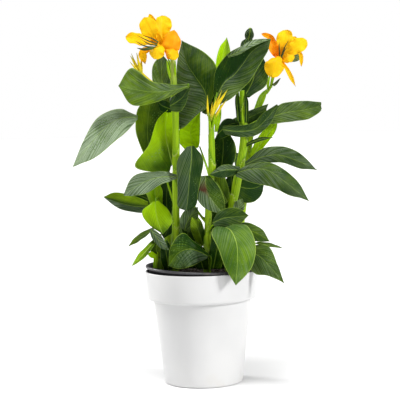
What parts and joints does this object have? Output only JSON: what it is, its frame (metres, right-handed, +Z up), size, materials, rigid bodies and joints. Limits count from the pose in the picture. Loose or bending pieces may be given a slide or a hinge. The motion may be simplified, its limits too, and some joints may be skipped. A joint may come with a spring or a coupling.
{
  "type": "potted canna lily",
  "caption": "Flowering canna lily with broad green leaves and yellow blooms, growing in a grower's pot set inside a tapered white collared cover pot.",
  "frame": {"origin": "centre of the cover pot's flat underside", "axes": "+Z up along the pot's own axis; -Y is the front, the side the picture shows; +X is to the right as seen from the front"},
  "size_m": [0.4611, 0.2759, 0.6932],
  "materials": {
    "white_pot": "satin",
    "dark_pot": "satin",
    "soil": "matte",
    "stem_green": "satin",
    "leaf_deep": "satin",
    "leaf_grey": "satin",
    "leaf_bright": "satin",
    "petal_yellow": "matte",
    "petal_orange": "matte",
    "bud": "matte"
  },
  "bodies": {
    "root": {"bud_centre_upright": "bud", "bud_right": "bud", "buds_centre": "bud", "buds_left": "bud", "cover_pot": "white_pot", "grower_pot": "dark_pot", "leaf_back_low": "leaf_grey", "leaf_back_middle": "leaf_deep", "leaf_behind_flower_stem": "leaf_grey", "leaf_bowl": "leaf_deep", "leaf_bright_left": "leaf_bright", "leaf_centre_left_tip": "leaf_deep", "leaf_centre_low": "leaf_deep", "leaf_curled_tip": "leaf_deep", "leaf_dark_right": "leaf_deep", "leaf_dark_upright": "leaf_deep", "leaf_far_left": "leaf_grey", "leaf_glowing": "leaf_bright", "leaf_hanging_centre": "leaf_deep", "leaf_left_folded": "leaf_deep", "leaf_left_light": "leaf_bright", "leaf_left_slim_lower": "leaf_bright", "leaf_left_slim_upper": "leaf_grey", "leaf_left_upper": "leaf_grey", "leaf_over_rim": "leaf_bright", "leaf_over_soil": "leaf_deep", "leaf_ribbed_left": "leaf_deep", "leaf_right_arching": "leaf_grey", "leaf_right_far_side": "leaf_deep", "leaf_right_low": "leaf_deep", "leaf_right_low_back": "leaf_deep", "leaf_right_low_slim": "leaf_grey", "leaf_right_middle": "leaf_grey", "leaf_right_trough": "leaf_deep", "leaf_right_upper": "leaf_grey", "leaf_streaked": "leaf_deep", "leaf_top_centre": "leaf_deep", "leaf_top_right": "leaf_grey", "leaf_top_slim": "leaf_bright", "leaf_young_centre": "leaf_bright", "petal_left_back": "petal_yellow", "petal_left_front": "petal_yellow", "petal_left_orange": "petal_orange", "petal_left_side": "petal_yellow", "petal_left_slim": "petal_yellow", "petal_left_top": "petal_yellow", "petal_right_front": "petal_yellow", "petal_right_orange": "petal_orange", "petal_right_side": "petal_yellow", "petal_right_slim": "petal_orange", "petal_right_top": "petal_yellow", "potting_soil": "soil", "sheath_right": "stem_green", "shoot_left": "stem_green", "stalk_far_left": "stem_green", "stem_back_left": "stem_green", "stem_centre": "stem_green", "stem_far_right": "stem_green", "stem_left": "stem_green", "stem_right": "stem_green"}
  },
  "joints": []
}
